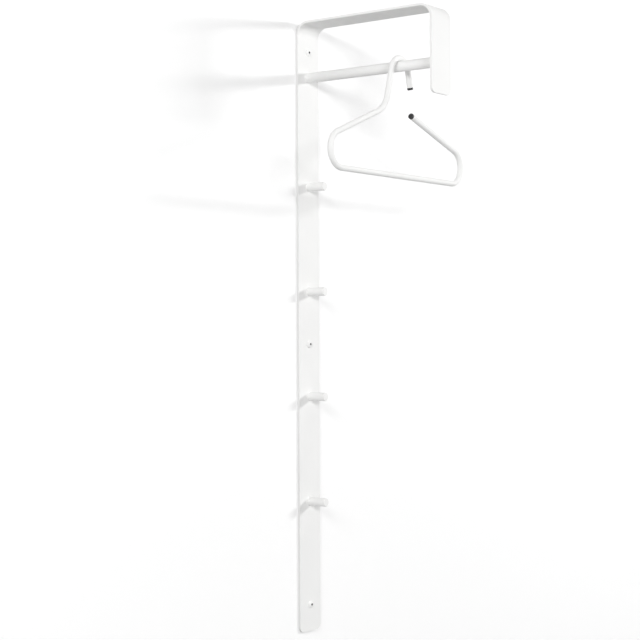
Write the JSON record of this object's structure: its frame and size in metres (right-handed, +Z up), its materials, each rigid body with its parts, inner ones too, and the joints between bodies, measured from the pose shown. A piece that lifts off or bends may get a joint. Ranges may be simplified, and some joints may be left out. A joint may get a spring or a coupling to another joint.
{
  "type": "wall coat rack",
  "caption": "Tall wall coat rack of one bent flat steel strip with a hanging rail under its arm, coat pegs down its front and a bent tube hanger.",
  "frame": {"origin": "on the wall plane, at the axis of the top wall screw", "axes": "+X along the wall to the right as seen from the room, +Y into the wall, +Z up; the rack stands out towards -Y"},
  "size_m": [0.4075, 0.328, 1.075],
  "materials": {
    "white_coat": "fine matt white powder coat on steel",
    "zinc_steel": "bright zinc plate",
    "plug_plastic": "grey nylon",
    "cap_plastic": "black polyethylene"
  },
  "bodies": {
    "rack": {"strip": "white_coat", "rail_tube": "white_coat", "rail_insert": "zinc_steel", "rail_screw": "zinc_steel", "rail_spigot": "white_coat", "peg_1": "white_coat", "peg_2": "white_coat", "peg_3": "white_coat", "peg_4": "white_coat", "peg_screw_1": "zinc_steel", "peg_screw_2": "zinc_steel", "peg_screw_3": "zinc_steel", "peg_screw_4": "zinc_steel", "wall_screw_top": "white_coat", "wall_screw_middle": "white_coat", "wall_screw_bottom": "white_coat", "wall_plug_top": "plug_plastic", "wall_plug_middle": "plug_plastic", "wall_plug_bottom": "plug_plastic"},
    "hanger": {"hanger_tube": "white_coat", "hook_plug": "cap_plastic", "shoulder_plug": "cap_plastic"}
  },
  "joints": [
    {"name": "hanger_slide", "type": "slide", "parent": "rack", "child": "hanger", "axis": [0, -1, 0], "range_m": [-0.1535, 0.0735]}
  ]
}
